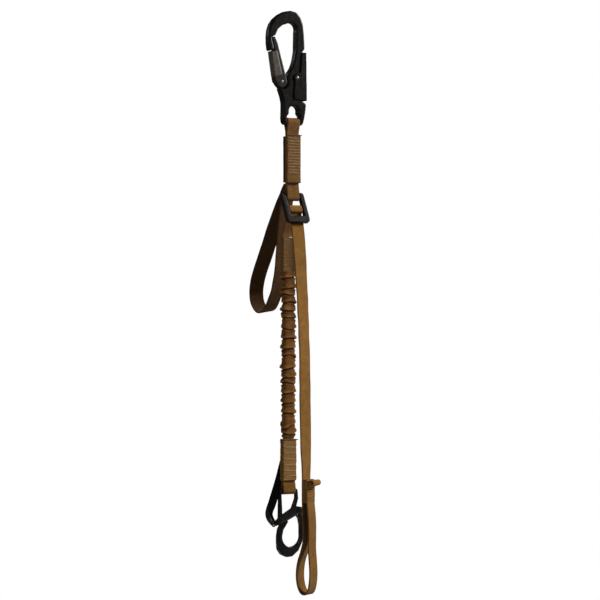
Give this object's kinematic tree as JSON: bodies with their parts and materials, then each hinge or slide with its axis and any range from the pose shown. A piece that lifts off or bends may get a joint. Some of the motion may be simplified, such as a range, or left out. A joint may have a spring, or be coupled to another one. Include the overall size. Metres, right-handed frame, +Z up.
{
  "type": "shock absorbing lanyard",
  "caption": "Adjustable webbing lanyard with a locking snap hook, adjuster buckle, rear and hand loops, crinkled elastic absorber and a quick-release snap shackle.",
  "frame": {"origin": "centre of the seat inside the hook's crown", "axes": "+Z up along the hanging strap, X across the webbing, -Y towards the front"},
  "size_m": [0.0793, 0.2063, 1.0164],
  "materials": {
    "hook_black": "satin black",
    "gate_grey": "satin dark grey",
    "rivet_steel": "satin",
    "spring_steel": "satin",
    "webbing": "coyote brown woven nylon",
    "thread": "tan nylon thread",
    "buckle_black": "satin black",
    "shackle_black": "satin black",
    "elastic": "matte",
    "tab_black": "black woven nylon"
  },
  "bodies": {
    "hook": {"hook_body": "hook_black", "gate_pin": "rivet_steel", "gate_spring": "spring_steel", "lever_pin": "rivet_steel", "lever_spring": "spring_steel"},
    "gate": {"hook_gate": "gate_grey"},
    "lever": {"lock_lever": "hook_black"},
    "tether": {"upper_webbing": "webbing", "upper_overlay": "webbing", "upper_stitching": "thread", "rear_loop_ends": "webbing"},
    "rear_loop": {"rear_loop": "webbing"},
    "buckle": {"buckle_frame": "buckle_black", "strap_wrap": "webbing", "load_strap": "webbing", "tail_strap": "webbing"},
    "tail_end": {"tail_splice": "webbing", "tail_stopper": "webbing", "tail_stitching": "thread", "hand_loop": "webbing"},
    "absorber_top": {"absorber_top_block": "webbing", "absorber_top_stitching": "thread", "elastic_core": "elastic", "crinkle_sleeve": "webbing"},
    "lower_block": {"lower_webbing": "webbing", "lower_overlay": "webbing", "lower_stitching": "thread", "release_tab": "tab_black"},
    "shackle": {"shackle_body": "shackle_black", "jaw_pin": "shackle_black", "plunger_spring": "spring_steel", "plunger_cap": "shackle_black"},
    "jaw": {"shackle_jaw": "shackle_black"},
    "plunger": {"lock_plunger": "shackle_black", "plunger_ring": "shackle_black"}
  },
  "joints": [
    {"name": "gate_swing", "type": "hinge", "parent": "hook", "child": "gate", "pos_m": [-0.0178, 0, -0.092], "axis": [0, 1, 0], "range_deg": [0, 25], "stiffness_Nm_per_rad": 0.15, "springref_deg": -28.65},
    {"name": "lock_squeeze", "type": "hinge", "parent": "hook", "child": "lever", "pos_m": [0.0118, 0, -0.084], "axis": [0, -1, 0], "range_deg": [0, 4], "stiffness_Nm_per_rad": 1, "springref_deg": -17.19},
    {"name": "tether_swing", "type": "hinge", "parent": "hook", "child": "tether", "pos_m": [0.006, 0, -0.162], "axis": [1, 0, 0], "range_deg": [-80, 80]},
    {"name": "loop_swing", "type": "hinge", "parent": "tether", "child": "rear_loop", "pos_m": [0.006, 0.007, -0.2715], "axis": [1, 0, 0], "range_deg": [0, 70]},
    {"name": "buckle_swing", "type": "hinge", "parent": "tether", "child": "buckle", "pos_m": [0.006, 0, -0.294], "axis": [1, 0, 0], "range_deg": [-45, 6]},
    {"name": "strap_adjust", "type": "slide", "parent": "buckle", "child": "absorber_top", "axis": [0, 0, -1], "range_m": [0, 0.2], "deforming": ["load_strap"]},
    {"name": "tail_feed", "type": "slide", "parent": "buckle", "child": "tail_end", "axis": [0, 0, 1], "range_m": [0, 0.2], "deforming": ["tail_strap"]},
    {"name": "bungee_stretch", "type": "slide", "parent": "absorber_top", "child": "lower_block", "axis": [0, 0, -1], "range_m": [0, 0.15], "stiffness_N_per_m": 500, "springref_m": -0.006, "deforming": ["elastic_core", "crinkle_sleeve"]},
    {"name": "shackle_swing", "type": "hinge", "parent": "lower_block", "child": "shackle", "pos_m": [0.006, 0.013, -0.808], "axis": [1, 0, 0], "range_deg": [-15, 75], "deforming": ["release_tab"]},
    {"name": "jaw_open", "type": "hinge", "parent": "shackle", "child": "jaw", "pos_m": [0.027, 0.013, -0.843], "axis": [0, -1, 0], "range_deg": [0, 100]},
    {"name": "plunger_pull", "type": "slide", "parent": "shackle", "child": "plunger", "axis": [-0.9063, 0, -0.4226], "range_m": [0, 0.005], "stiffness_N_per_m": 600, "springref_m": -0.016, "deforming": ["plunger_spring"]}
  ],
  "couplings": [
    {"joint": "tail_feed", "follows": "strap_adjust", "ratio": 1},
    {"joint": "plunger_pull", "follows": "jaw_open", "m_per_rad": 0.0028}
  ]
}
